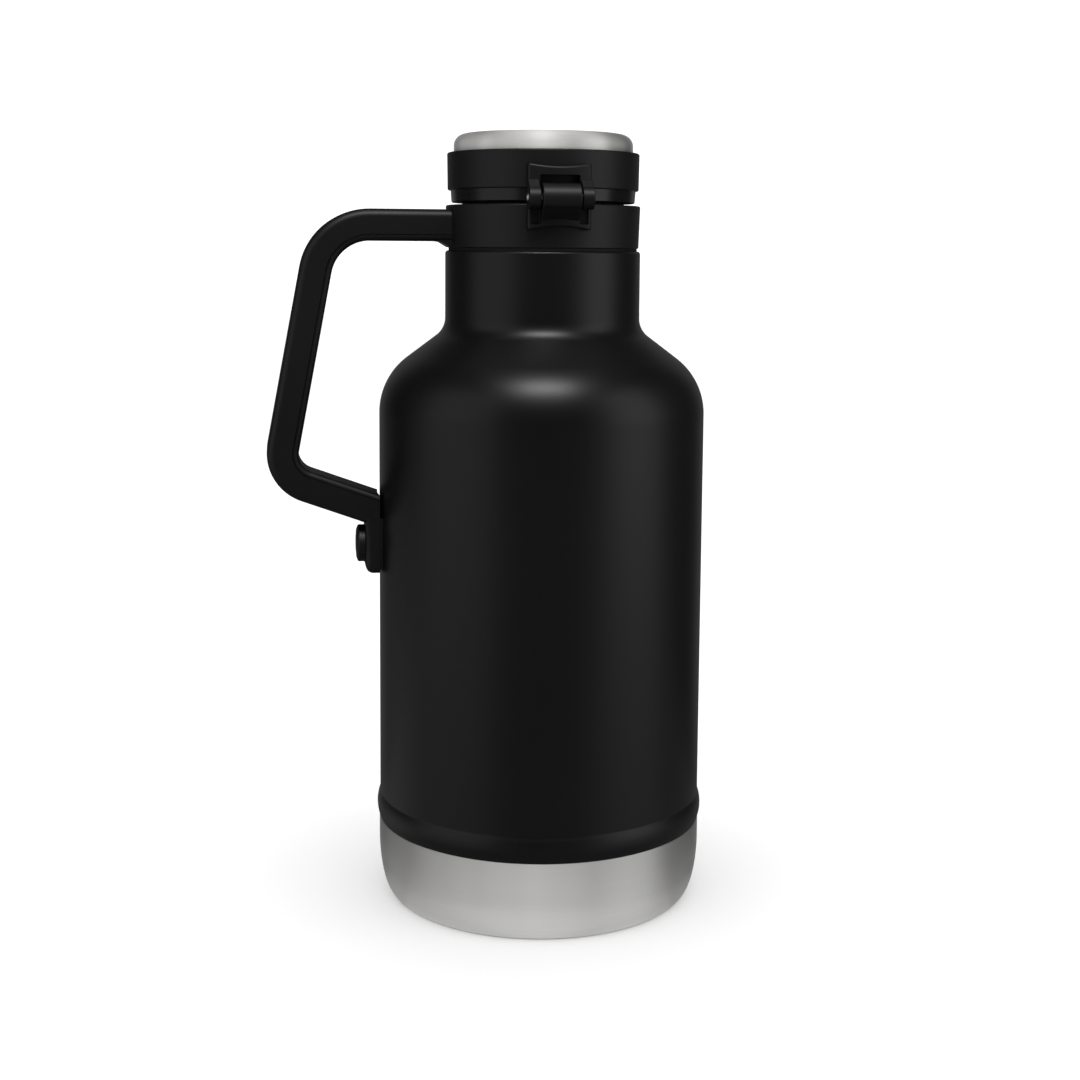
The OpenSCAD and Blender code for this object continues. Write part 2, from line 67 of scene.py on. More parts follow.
MM = 0.001
SEGMENTS = 192
FINE_SEGMENTS = 256
WELD = 0.0005


def low(node):
    """A node's lowest corner in millimetres."""
    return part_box(node)[0] / MM


def high(node):
    """A node's highest corner in millimetres."""
    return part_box(node)[1] / MM


def joint(name):
    """Where a joint's axis is, in millimetres."""
    row = next(j for j in frame["joints"] if j["name"] == name)
    return Vector(row["pos_m"]) / MM


# ---------------------------------------------------------------------------------- outlines
def arc(centre, radius, start, end, steps=10):
    """Points of an arc, with its angles in degrees."""
    angles = [radians(start + (end - start) * i / steps) for i in range(steps + 1)]
    return [(centre[0] + radius * cos(a), centre[1] + radius * sin(a)) for a in angles]


def rounded(corners, steps=5):
    """A closed outline whose corners (x, y) or (x, y, radius) are rounded where a radius is given."""
    points = []
    for i, corner in enumerate(corners):
        here = Vector(corner[:2])
        radius = corner[2] if len(corner) > 2 else 0
        if not radius:
            points.append(tuple(here))
            continue
        before = (Vector(corners[i - 1][:2]) - here).normalized()
        after = (Vector(corners[(i + 1) % len(corners)][:2]) - here).normalized()
        half = before.angle(after) / 2
        middle = here + (before + after).normalized() * radius / sin(half)
        first = here + before * radius / tan(half) - middle
        last = here + after * radius / tan(half) - middle
        turn = (atan2(last.y, last.x) - atan2(first.y, first.x) + pi) % (2 * pi) - pi
        start = degrees(atan2(first.y, first.x))
        points += arc(middle, radius, start, start + degrees(turn), steps)
    return points


def inset(outline, amount):
    """A closed outline moved inwards by an amount, corner by corner."""
    area = sum(a[0] * b[1] - b[0] * a[1] for a, b in zip(outline, outline[1:] + outline[:1]))
    side = 1 if area > 0 else -1
    moved = []
    for i, point in enumerate(outline):
        before = (Vector(point) - Vector(outline[i - 1])).normalized()
        after = (Vector(outline[(i + 1) % len(outline)]) - Vector(point)).normalized()
        inward = side * (Vector((-before.y, before.x)) + Vector((-after.y, after.x)))
        reach = amount * 2 / max(inward.length_squared, 1)
        moved.append(tuple(Vector(point) + inward * reach))
    return moved


# ------------------------------------------------------------------------------------ meshes
def new_object(name, bm):
    """A smooth object in metres from a bmesh in millimetres."""
    bmesh.ops.remove_doubles(bm, verts=bm.verts, dist=WELD)
    bmesh.ops.recalc_face_normals(bm, faces=bm.faces)
    bmesh.ops.scale(bm, vec=(MM, MM, MM), verts=bm.verts)
    mesh = bpy.data.meshes.new(name)
    bm.to_mesh(mesh)
    bm.free()
    obj = bpy.data.objects.new(name, mesh)
    bpy.context.scene.collection.objects.link(obj)
    return obj


def loft(name, rings, closed=False):
    """Faces between closed rings of points, with flat ends unless the rings close on themselves."""
    bm = bmesh.new()
    rows = [[bm.verts.new(p) for p in ring] for ring in rings]
    pairs = list(zip(rows, rows[1:])) + ([(rows[-1], rows[0])] if closed else [])
    for a, b in pairs:
        for i in range(len(a)):
            k = (i + 1) % len(a)
            bm.faces.new((a[i], a[k], b[k], b[i]))
    if not closed:
        bm.faces.new(rows[0])
        bm.faces.new(rows[-1])
    return new_object(name, bm)


def lathe(name, profile, place=None, segments=SEGMENTS):
    """Turns a closed profile of (radius, height) about Z; place moves it afterwards."""
    bm = bmesh.new()
    rings = []
    for radius, height in profile:
        count = 1 if radius < 1e-6 else segments
        angles = [2 * pi * k / count for k in range(count)]
        rings.append([bm.verts.new((radius * cos(a), radius * sin(a), height)) for a in angles])
    for a, b in zip(rings, rings[1:] + rings[:1]):
        for k in range(segments):
            n = (k + 1) % segments
            corners = [a[k % len(a)], a[n % len(a)], b[n % len(b)], b[k % len(b)]]
            face = list(dict.fromkeys(corners))
            if len(face) > 2:
                bm.faces.new(face)
    if place:
        bmesh.ops.transform(bm, matrix=place, verts=bm.verts)
    return new_object(name, bm)


# where an outline's two coordinates and the depth along the axis go
AXES = {
    "x": lambda u, v, w: (w, u, v),
    "y": lambda u, v, w: (u, w, v),
    "z": lambda u, v, w: (u, v, w),
}


def prism(name, axis, outline, start, end, edge, steps=4):
    """An outline extruded along an axis, with its two rims rounded by edge."""
    rings = []
    turns = [radians(90 * i / steps) for i in range(steps + 1)]
    for a in turns:
        rings.append((inset(outline, edge * (1 - sin(a))), start + edge * (1 - cos(a))))
    for a in reversed(turns):
        rings.append((inset(outline, edge * (1 - sin(a))), end - edge * (1 - cos(a))))
    return loft(name, [[AXES[axis](u, v, w) for u, v in ring] for ring, w in rings])


def rod(name, radius, start, end, y, z, edge=0.3, segments=96):
    """A round bar along X with rounded ends."""
    profile = rounded([(0, start), (radius, start, edge), (radius, end, edge), (0, end)], 4)
    place = Matrix.Translation((0, y, z)) @ Matrix.Rotation(radians(90), 4, "Y")
    return lathe(name, profile, place, segments)


def combine(obj, others, operation="UNION"):
    """Adds the other solids to obj, or cuts them away, and removes them."""
    for other in others:
        step = obj.modifiers.new(operation.lower(), "BOOLEAN")
        step.operation = operation
        step.solver = "EXACT"
        step.object = other
        depsgraph = bpy.context.evaluated_depsgraph_get()
        made = bpy.data.meshes.new_from_object(obj.evaluated_get(depsgraph))
        obj.modifiers.clear()
        obj.data = made
        bpy.data.objects.remove(other)
    return obj


def finish_piece(obj, body, material, slot, *stands_for, sharp=34):
    """Shades a piece smoothly up to its sharp edges, ties it to its body and hides the CAD nodes it
    stands for.
    """
    obj.data.shade_smooth()
    obj.data.set_sharp_from_angle(angle=radians(sharp))
    even = obj.modifiers.new("even_normals", "WEIGHTED_NORMAL")
    even.keep_sharp = True
    obj.data.materials.clear()
    obj.data.materials.append(material)
    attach(obj, body)
    if stands_for:
        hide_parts(*stands_for)
    return obj


# --------------------------------------------------------------------------------- materials
NOISE_LOW = 0.3
NOISE_HIGH = 0.7


class Shader:
    """A Principled material with short calls for the nodes that feed it."""

    def __init__(self, name, **sockets):
        self.material = bpy.data.materials.new(name)
        self.material.use_nodes = True
        self.tree = self.material.node_tree
        self.bsdf = self.tree.nodes["Principled BSDF"]
        for socket, value in sockets.items():
            self.bsdf.inputs[socket.replace("_", " ")].default_value = value
        self.coords = self.add("ShaderNodeTexCoord").outputs["Object"]

    def add(self, kind, inputs=None, **settings):
        node = self.tree.nodes.new(kind)
        for key, value in settings.items():
            setattr(node, key, value)
        for key, value in (inputs or {}).items():
            if isinstance(value, bpy.types.NodeSocket):
                self.tree.links.new(value, node.inputs[key])
            else:
                node.inputs[key].default_value = value
        return node

    def math(self, operation, a, b=0.0):
        return self.add("ShaderNodeMath", {0: a, 1: b}, operation=operation).outputs[0]

    def noise(self, scale, detail=3.0, vector=None, roughness=0.5):
        inputs = {"Vector": vector or self.coords, "Scale": scale, "Detail": detail}
        inputs["Roughness"] = roughness
        return self.add("ShaderNodeTexNoise", inputs).outputs["Fac"]

    def spread(self, value, low_value, high_value):
        """A noise value spread from one number to another, over the range that noise mostly has."""
        inputs = {"Value": value, "From Min": NOISE_LOW, "From Max": NOISE_HIGH}
        inputs.update({"To Min": low_value, "To Max": high_value})
        return self.add("ShaderNodeMapRange", inputs).outputs["Result"]

    def blend(self, value, first, second):
        """A colour between two, by a noise value."""
        ramp = self.add("ShaderNodeValToRGB", {"Fac": value})
        ramp.color_ramp.elements[0].position = NOISE_LOW
        ramp.color_ramp.elements[0].color = (*first, 1)
        ramp.color_ramp.elements[1].position = NOISE_HIGH
        ramp.color_ramp.elements[1].color = (*second, 1)
        return ramp.outputs["Color"]

    def around(self, along, across):
        """Coordinates stretched round the Z axis: fine steps in radius and height, long ones round it."""
        parts = self.add("ShaderNodeSeparateXYZ", {"Vector": self.coords})
        x, y = parts.outputs["X"], parts.outputs["Y"]
        angle = self.math("ARCTAN2", y, x)
        squares = self.math("ADD", self.math("MULTIPLY", x, x), self.math("MULTIPLY", y, y))
        radius = self.math("SQRT", squares)
        inputs = {
            "X": self.math("MULTIPLY", radius, across),
            "Y": self.math("MULTIPLY", angle, along),
            "Z": self.math("MULTIPLY", parts.outputs["Z"], across),
        }
        return self.add("ShaderNodeCombineXYZ", inputs).outputs["Vector"]

    def stretched(self, scale):
        return self.add("ShaderNodeMapping", {"Vector": self.coords, "Scale": scale}).outputs[0]

    def bump(self, height, distance, strength=1.0, normal=None):
        inputs = {"Height": height, "Distance": distance, "Strength": strength}
        if normal:
            inputs["Normal"] = normal
        return self.add("ShaderNodeBump", inputs).outputs["Normal"]

    def connect(self, socket, value):
        self.tree.links.new(value, self.bsdf.inputs[socket])


def powder_coat():
    """Satin black powder coat: a faint orange peel over a very fine grain."""
    s = Shader("powder_coat", Specular_IOR_Level=0.5)
    clouds = s.noise(14, 4)
    s.connect("Base Color", s.blend(clouds, (0.0012, 0.0012, 0.0011), (0.0018, 0.0018, 0.0017)))
    speckle = s.noise(2600, 2)
    rough = s.math("ADD", s.spread(clouds, 0.36, 0.40), s.spread(speckle, -0.015, 0.015))
    s.connect("Roughness", rough)
    peel = s.bump(s.noise(420, 2), 0.00003, 0.35)
    s.connect("Normal", s.bump(speckle, 0.000012, 0.4, peel))
    return s.material


def moulded_plastic():
    """Matt black moulded plastic with a fine spark-eroded texture."""
    s = Shader("moulded_plastic", Specular_IOR_Level=0.5)
    clouds = s.noise(22, 4)
    s.connect("Base Color", s.blend(clouds, (0.0012, 0.0012, 0.0011), (0.0019, 0.0019, 0.0018)))
    grain = s.noise(1900, 4, roughness=0.65)
    rough = s.math("ADD", s.spread(clouds, 0.44, 0.50), s.spread(grain, -0.03, 0.03))
    s.connect("Roughness", rough)
    s.connect("Normal", s.bump(grain, 0.00004, 0.35))
    return s.material


def gloss_plastic():
    """The smoother black plastic of the lid's inner part."""
    s = Shader("gloss_plastic", Specular_IOR_Level=0.5)
    clouds = s.noise(30, 3)
    s.connect("Base Color", s.blend(clouds, (0.0022, 0.0022, 0.0021), (0.0030, 0.0030, 0.0029)))
    s.connect("Roughness", s.spread(clouds, 0.22, 0.28))
    s.connect("Normal", s.bump(s.noise(900, 2), 0.00001, 0.3))
    return s.material


def rubber():
    """Dark silicone rubber for the seals."""
    s = Shader("seal_rubber", Specular_IOR_Level=0.35)
    clouds = s.noise(60, 4)
    s.connect("Base Color", s.blend(clouds, (0.0025, 0.0025, 0.0025), (0.0045, 0.0045, 0.0045)))
    s.connect("Roughness", s.spread(clouds, 0.62, 0.75))
    s.connect("Normal", s.bump(s.noise(1500, 3), 0.00003, 0.4))
    return s.material


def turned_steel(name, tone, roughness, anisotropic, depth):
    """Stainless steel brushed round the Z axis: fine rings of scratches and soft wider bands."""
    s = Shader(name, Metallic=1.0, Anisotropic=anisotropic, Anisotropic_Rotation=0.25)
    tangent = s.add("ShaderNodeTangent", direction_type="RADIAL", axis="Z")
    s.connect("Tangent", tangent.outputs["Tangent"])
    lines = s.noise(1.0, 3, s.around(2.2, 5200), 0.6)
    bands = s.noise(1.0, 2, s.around(1.1, 420))
    tone_value = s.math("ADD", s.spread(lines, -0.018, 0.018), s.spread(bands, -0.006, 0.006))
    grey = s.math("ADD", tone_value, tone)
    green = s.math("MULTIPLY", grey, 0.992)
    blue = s.math("MULTIPLY", grey, 0.975)
    warm = s.add("ShaderNodeCombineColor", {"Red": grey, "Green": green, "Blue": blue})
    s.connect("Base Color", warm.outputs["Color"])
    clouds = s.noise(18, 4)
    rough = s.math("ADD", s.spread(lines, -0.02, 0.025), s.spread(clouds, roughness, roughness + 0.02))
    s.connect("Roughness", rough)
    s.connect("Normal", s.bump(lines, depth, 0.5))
    return s.material


def drawn_steel(name, tone, roughness, scale):
    """Stainless steel with a straight grain, for wire and pressed sheet."""
    s = Shader(name, Metallic=1.0)
    lines = s.noise(1.0, 3, s.stretched(scale), 0.6)
    dark = (tone * 0.965, tone * 0.96, tone * 0.945)
    s.connect("Base Color", s.blend(lines, dark, (tone, tone * 0.993, tone * 0.98)))
    s.connect("Roughness", s.spread(lines, roughness - 0.02, roughness + 0.03))
    s.connect("Normal", s.bump(lines, 0.000002, 0.4))
    return s.material


def foam():
    """Rigid foam that fills the lid."""
    s = Shader("rigid_foam", Specular_IOR_Level=0.2)
    cells = s.noise(900, 3)
    s.connect("Base Color", s.blend(cells, (0.72, 0.66, 0.48), (0.86, 0.82, 0.66)))
    s.connect("Roughness", s.spread(cells, 0.85, 0.95))
    s.connect("Normal", s.bump(cells, 0.0003, 0.6))
    return s.material


POWDER = powder_coat()
MOULDED = moulded_plastic()
GLOSS = gloss_plastic()
RUBBER = rubber()
BASE_STEEL = turned_steel("brushed_base", 0.72, 0.50, 0.88, 0.000003)
CAP_STEEL = turned_steel("satin_cap", 0.82, 0.50, 0.88, 0.000002)
INNER_STEEL = turned_steel("inner_steel", 0.66, 0.22, 0.4, 0.000003)
LATCH_STEEL = drawn_steel("latch_steel", 0.66, 0.30, (3600, 140, 140))
WIRE_STEEL = drawn_steel("wire_steel", 0.68, 0.22, (900, 900, 120))
PIN_STEEL = drawn_steel("pin_steel", 0.58, 0.26, (4200, 300, 300))
FOAM = foam()

# ------------------------------------------------------------------------------ shell and base
BODY_R = 63.2
NECK_R = 37.7
SHELL_T = 0.8
SEAM_Z = high("base_cup").z
BASE_R = high("base_cup").x
NECK_TOP_Z = low("collar_gasket").z
FINISH_TOP_Z = high("body_shell").z
SHOULDER_Z = 190
SHOULDER_ANGLE = 37
SHOULDER_R = 26.6
NECK_FILLET_R = 8.7
FINISH_R = 33.6
SNAP_R = 34.5
SNAP_Z = 258
BEAD_Z = 35.3
BEAD_HALF = 5
BEAD_PROUD = high("body_shell").x - BODY_R


def shoulder(body_r, neck_r, round_r, fillet_r):
    """The shoulder's round and fillet, from below; the line between them is its cone."""
    turn = 90 - SHOULDER_ANGLE
    bow = 1 - cos(radians(turn))
    run = (body_r - round_r * bow) - (neck_r + fillet_r * bow)
    rise = run * tan(radians(SHOULDER_ANGLE)) + (round_r + fillet_r) * sin(radians(turn))
    fillet = arc((neck_r + fillet_r, SHOULDER_Z + rise), fillet_r, 180 + turn, 180, 16)
    return arc((body_r - round_r, SHOULDER_Z), round_r, 0, turn, 28) + fillet


def bead(radius, grow):
    """The rolled bead just above the seam."""
    bow = (BEAD_HALF**2 + BEAD_PROUD**2) / (2 * BEAD_PROUD)
    start = degrees(asin((SEAM_Z - BEAD_Z) / bow))
    end = degrees(acos((bow - BEAD_PROUD) / bow))
    points = arc((radius + BEAD_PROUD - bow, BEAD_Z), bow + grow, start, end, 16)
    wall = radius + grow
    top_z = BEAD_Z + BEAD_HALF
    return points + [(wall + 0.02, top_z + 0.35), (wall, top_z + 1.2)]


def make_shell():
    """The coated outer shell, its edges a little rounded, with the lip inside the collar."""
    lip_in = FINISH_R - SHELL_T
    neck_in = NECK_R - SHELL_T
    foot = bead(BODY_R, 0)
    curl = [(foot[0][0] - 0.5, foot[0][1] + 0.02), (foot[0][0] - 0.15, foot[0][1] + 0.08)]
    top = [(NECK_R, NECK_TOP_Z, 1.2), (FINISH_R, NECK_TOP_Z, 0.3), (FINISH_R, SNAP_Z - 1.4)]
    top += [(SNAP_R, SNAP_Z - 0.5, 0.2), (SNAP_R, SNAP_Z + 0.5, 0.2), (FINISH_R, SNAP_Z + 1.4)]
    top += [(FINISH_R, FINISH_TOP_Z, 0.2), (lip_in, FINISH_TOP_Z)]
    top += [(lip_in, NECK_TOP_Z - SHELL_T), (neck_in, NECK_TOP_Z - SHELL_T)]
    side = shoulder(BODY_R, NECK_R, SHOULDER_R, NECK_FILLET_R)
    back = shoulder(BODY_R - SHELL_T, neck_in, SHOULDER_R - SHELL_T, NECK_FILLET_R + SHELL_T)
    rim = rounded([side[-1]] + top + [back[-1]])[1:-1]
    outline = curl + foot + side + rim + back[::-1] + bead(BODY_R, -SHELL_T)[::-1]
    obj = lathe("shell", outline, segments=FINE_SEGMENTS)
    return finish_piece(obj, "vessel", POWDER, "powder_coat", "body_shell", sharp=40)


def make_base():
    """The bare brushed base, a pressed cup with a recessed ring under its foot."""
    wall = 0.8
    curve_z = 22.4
    curve_in = 6
    ring_in, ring_out, ring_d = 46, 52, 0.8

    def side(radius, drop):
        """The wall's curve from its straight part down to the foot."""
        turns = [radians(90 * i / 24) for i in range(25)]
        return [(radius - curve_in + curve_in * cos(a), curve_z - drop * sin(a)) for a in turns]

    rim = [(BASE_R - wall, SEAM_Z), (BASE_R - 0.3, SEAM_Z), (BASE_R - 0.08, SEAM_Z - 0.09)]
    rim += [(BASE_R, SEAM_Z - 0.32)]
    foot = [(ring_out, 0), (ring_out - ring_d, ring_d), (ring_in + ring_d, ring_d), (ring_in, 0), (0, 0)]
    inside = [(0, wall), (ring_in - 0.4, wall), (ring_in + 0.4, wall + ring_d)]
    inside += [(ring_out - 0.4, wall + ring_d), (ring_out + 0.4, wall)]
    outline = rim + side(BASE_R, curve_z) + foot + inside
    outline += side(BASE_R - wall, curve_z - wall)[::-1]
    obj = lathe("base", outline, segments=FINE_SEGMENTS)
    return finish_piece(obj, "vessel", BASE_STEEL, "base_steel", "base_cup", sharp=40)


# -------------------------------------------------------------------------- collar and handle
HINGE = joint("lid_hinge")
LEVER = joint("lever_pivot")
COLLAR_LOW_Z = high("collar_gasket").z
COLLAR_TOP_Z = 269.8
COLLAR_R = 37.3
SEAT_GAP = 0.3
MOUTH_R = 32.2
HANDLE_W = 18.5
HANDLE_T = 12.1
HANDLE_TOP_Z = 262
HANDLE_CORNERS = [
    (-35, HANDLE_TOP_Z, 0), (-84.2, HANDLE_TOP_Z, 20.8), (-102.1, 166.6, 13.4), (-60, 151.5, 0)]
SCREW_Z = (low("screw_cap").z + high("screw_cap").z) / 2
TAB_X = high("screw_cap").x
TAB_LOW_Z = 128.8
TAB_TOP_Z = 153
SCREW_PLACE = Matrix.Translation((0, 0, SCREW_Z)) @ Matrix.Rotation(radians(-90), 4, "Y")
LEAF_R = 40.6
LEAF_X = 11.8
BOSS_LOW_Z = 260.2
BOSS_TOP_Z = 268.5
BOSS_BOW_R = 41.4
BOSS_BOW_Z = 220.2
LEAF_BOW_R = 59.2
LEAF_BOW_RISE = 58
KNUCKLE_X = 7.1
KNUCKLE_R = 5.3
EAR_X = (7.6, 12.0)
EAR_R = 4.2
LUG_X = 6
LUG_R = 3


def handle_section():
    """The band's section: a full outer rounding, and a fine groove before the inner rounding."""
    half_t, half_w = HANDLE_T / 2, HANDLE_W / 2
    line, line_w, line_d = 2.3 - half_t, 0.24, 0.32
    corners = [
        (half_t, -half_w, 3.0), (half_t, half_w, 3.0),
        (line + line_w, half_w), (line, half_w - line_d), (line - line_w, half_w),
        (-half_t, half_w, 1.9), (-half_t, -half_w, 1.9),
        (line - line_w, -half_w), (line, line_d - half_w), (line + line_w, -half_w)]
    return rounded(corners, 7)


def handle_band():
    """The grip and its two arms: one section carried along the bent centre line."""
    path = [Vector(p) for p in rounded(HANDLE_CORNERS, 20)]
    section = handle_section()
    rings = []
    for i, point in enumerate(path):
        ahead = path[min(i + 1, len(path) - 1)] - path[max(i - 1, 0)]
        out = Vector((ahead.y, -ahead.x)).normalized()
        place = [point + out * d for d, _ in section]
        rings.append([(p.x, y, p.y) for p, (_, y) in zip(place, section)])
    return loft("band", rings)


def curved_plate(name, half_x, low_z, high_z, inner_r, outer_r, edge, steps=40):
    """A plate that follows the lid's curve, with a rounded rim; low_z and high_z are functions of x."""
    def section(x, shrink):
        foot, head, rim = low_z(x) + shrink, high_z(x) - shrink, outer_r - shrink
        points = [(inner_r, foot), (inner_r, head)]
        points += arc((rim - edge, head - edge), edge, 90, 0, 6)
        points += arc((rim - edge, foot + edge), edge, 0, -90, 6)
        return [(x, -sqrt(radius**2 - x**2), z) for radius, z in points]

    turns = [radians(90 * i / 6) for i in range(7)]
    rims = [(half_x - edge * (1 - cos(a)), edge * (1 - sin(a))) for a in turns]
    span = half_x - edge
    middle = [(-span + 2 * span * i / steps, 0) for i in range(1, steps)]
    places = [(-x, shrink) for x, shrink in rims] + middle + list(reversed(rims))
    return loft(name, [section(x, shrink) for x, shrink in places])


def boss_low(x):
    """The hinge boss's lower edge, hollowed like the top of the lid's leaf."""
    return max(BOSS_LOW_Z, BOSS_BOW_Z + sqrt(BOSS_BOW_R**2 - x**2))


def leaf_top(x):
    """The hinge leaf's upper edge, lowest at its middle."""
    return LEAF_TOP_Z + LEAF_BOW_RISE - sqrt(LEAF_BOW_R**2 - x**2)


def hinge_boss():
    """The curved plate under the knuckle, with a slot at each side for the lid's ears."""
    plate = curved_plate("boss", LEAF_X, boss_low, lambda x: BOSS_TOP_Z, 35, LEAF_R, 0.8)
    slot_in, slot_out, slot_low, slot_high = 7.2, 10.7, 262.3, 270
    slots = [prism("slot", "y", rounded([
        (side * slot_in, slot_low, 0.6), (side * slot_out, slot_low, 0.6),
        (side * slot_out, slot_high), (side * slot_in, slot_high)]),
        -44, -38.3, 0.3) for side in (-1, 1)]
    return combine(plate, slots, "DIFFERENCE")


def collar_cuts():
    """What is cut out of the collar: room for ears, body and screw, and the holes of two pins."""
    gap = 0.3
    cuts = [
        rod("room", EAR_R + 0.5, side * (EAR_X[0] - gap), side * (EAR_X[1] + gap),
            HINGE.y, HINGE.z, 0.1) for side in (-1, 1)]
    clear_r = BODY_R + 1.1
    shaft_r, neck_r, head_r = 5.3, 2.8, 4.6
    seat_x, head_x = 66.5, 67.2
    screw = [
        (0, 60), (shaft_r, 60), (shaft_r, seat_x), (neck_r, seat_x),
        (neck_r, head_x), (head_r, head_x), (head_r, 75), (0, 75)]
    return cuts + [
        lathe("body_room", [(0, 100), (clear_r, 100), (clear_r, 200), (0, 200)], segments=FINE_SEGMENTS),
        lathe("screw_room", screw, SCREW_PLACE, 64),
        rod("pin_room", 1.56, -20, 20, HINGE.y, HINGE.z, 0.1),
        rod("latch_pin_room", 1.25, -20, 20, LEVER.y, LEVER.z, 0.1)]


def make_collar_handle():
    """Collar, handle, hinge boss and latch lug, moulded in one."""
    low_z, top_z = COLLAR_LOW_Z, COLLAR_TOP_Z
    seat_r, groove_r = FINISH_R + SEAT_GAP, SNAP_R + SEAT_GAP
    collar = lathe("collar_and_handle", rounded([
        (seat_r, low_z, 0.2), (COLLAR_R - 0.3, low_z, 0.45), (COLLAR_R + 0.22, top_z, 0.6),
        (MOUTH_R, top_z, 0.5), (MOUTH_R, top_z - 2.2, 0.2), (seat_r, top_z - 2.2),
        (seat_r, SNAP_Z + 1.8), (groove_r, SNAP_Z + 0.7), (groove_r, SNAP_Z - 0.7),
        (seat_r, SNAP_Z - 1.8)]))
    half_w = HANDLE_W / 2
    under = HANDLE_TOP_Z - HANDLE_T / 2
    gusset = rounded([
        (-35, under + 2), (-42.8, under + 2), (-41.4, under - 0.05), (-40, under - 0.2, 1.0),
        (-36.7, low_z + 0.12, 0.3), (-35, low_z + 0.12)])
    tab = rounded([(-60, TAB_TOP_Z), (-60, TAB_LOW_Z), (TAB_X, TAB_LOW_Z, 3), (TAB_X, TAB_TOP_Z)], 8)
    knuckle = [(-36, 262.2), (-38.5, 262.2)] + arc(HINGE.yz, KNUCKLE_R, 216.9, -22, 40)
    knuckle += [(-36, top_z - 0.1)]
    lug = [(35, LEVER.z - 4.2)] + arc(LEVER.yz, LUG_R, -90, 90, 20) + [(35, LEVER.z + LUG_R)]
    combine(collar, [
        handle_band(),
        prism("gusset", "y", gusset, -half_w + 0.6, half_w - 0.6, 0.4),
        prism("tab", "y", tab, -half_w, half_w, 2.2),
        hinge_boss(),
        prism("knuckle", "x", knuckle, -KNUCKLE_X, KNUCKLE_X, 0.5),
        prism("lug", "x", lug, -LUG_X, LUG_X, 0.4)])
    combine(collar, collar_cuts(), "DIFFERENCE")
    return finish_piece(collar, "vessel", MOULDED, "moulded_black", "collar_handle")


def make_screw_cap():
    """The round plug over the handle's screw, with a domed face."""
    back = -TAB_X
    front = -low("screw_cap").x
    radius = (high("screw_cap").z - low("screw_cap").z) / 2
    stem_r = 4.2
    face = [(0, front), (radius * 0.45, front - 0.03)]
    rim = rounded([
        (radius - 1.6, front - 0.25), (radius, front - 0.9, 0.7), (radius, back, 0.2), (stem_r, back)])
    outline = face + rim + [(stem_r, back - 1.0), (0, back - 1.0)]
    obj = lathe("screw_plug", outline, SCREW_PLACE, 96)
    return finish_piece(obj, "vessel", MOULDED, "moulded_black", "screw_cap")


# ------------------------------------------------------------------------------------- the lid
LID_LOW_Z = high("lid_skirt").z
LID_TOP_Z = high("lid_ring").z
LID_R = 36.9
CAP_R = high("lid_cap").x
CAP_TOP_Z = high("lid_cap").z
CAP_LOW_Z = low("lid_cap").z
CAP_ROUND = 4.4
LEAF_TOP_Z = 284.5
WINDOW_TOP_Z = 280.2
CATCH_Y = low("lid_catch").y


def make_lid_ring():
    """The lid's moulded ring with its raised hinge leaf, two ears and the pad for the catch."""
    ring_in = CAP_R + 0.05
    hole_r = 29
    ring = lathe("lid_ring_moulding", rounded([
        (hole_r, LID_LOW_Z), (LID_R - 0.1, LID_LOW_Z, 0.6), (LID_R + 0.1, LID_TOP_Z, 0.6),
        (ring_in, LID_TOP_Z, 0.2), (ring_in, CAP_LOW_Z), (hole_r, CAP_LOW_Z)]))
    plate = curved_plate("leaf", LEAF_X, lambda x: LID_LOW_Z + 0.9, leaf_top, 35.6, LEAF_R, 0.9)
    win_x, win_low = 7.4, 270
    window = rounded([
        (-win_x, win_low), (-win_x, WINDOW_TOP_Z, 0.6), (win_x, WINDOW_TOP_Z, 0.6), (win_x, win_low)], 5)
    combine(plate, [prism("window", "y", window, -45, -20, 0.3)], "DIFFERENCE")
    parts = [plate]
    ear = [(HINGE.y - EAR_R * 0.9, HINGE.z + EAR_R * 0.43), (-LEAF_R + 0.6, LID_LOW_Z + 2.8)]
    ear += [(-36.2, LID_LOW_Z + 2.8), (-36.2, LID_LOW_Z + 0.3), (HINGE.y + 2, HINGE.z)]
    arm_in = 0.15
    for side in (-1, 1):
        near, far = sorted((side * EAR_X[0], side * EAR_X[1]))
        parts.append(rod("ear", EAR_R, near, far, HINGE.y, HINGE.z, 0.4))
        parts.append(prism("arm", "x", ear, near + arm_in, far - arm_in, 0.3))
    pad_x, pad_low, pad_high, pad_edge = 8.5, LID_LOW_Z + 0.8, LID_LOW_Z + 8.4, 0.8
    pad = rounded([
        (-pad_x, pad_low, pad_edge), (pad_x, pad_low, pad_edge),
        (pad_x, pad_high, pad_edge), (-pad_x, pad_high, pad_edge)], 4)
    parts.append(prism("pad", "y", pad, 34.9, CATCH_Y, 0.15))
    combine(ring, parts)
    combine(ring, [rod("pin_room", 1.5, -13, 13, HINGE.y, HINGE.z, 0.1)], "DIFFERENCE")
    return finish_piece(ring, "lid", MOULDED, "moulded_black", "lid_ring")


def make_cap():
    """The satin steel cap with its rolled shoulder and a barely crowned top."""
    wall = 0.8
    crown = [(0, CAP_TOP_Z), (12, CAP_TOP_Z - 0.02), (22, CAP_TOP_Z - 0.08)]
    middle = (CAP_R - CAP_ROUND, CAP_TOP_Z - CAP_ROUND - 0.15)
    outside = arc(middle, CAP_ROUND, 90, 0, 14)
    inside = arc(middle, CAP_ROUND - wall, 0, 90, 8)
    outline = crown + outside + [(CAP_R, CAP_LOW_Z), (CAP_R - wall, CAP_LOW_Z)] + inside
    outline += [(0, CAP_TOP_Z - wall - 0.15)]
    obj = lathe("steel_cap", outline, segments=FINE_SEGMENTS)
    return finish_piece(obj, "lid", CAP_STEEL, "cap_steel", "lid_cap", sharp=40)


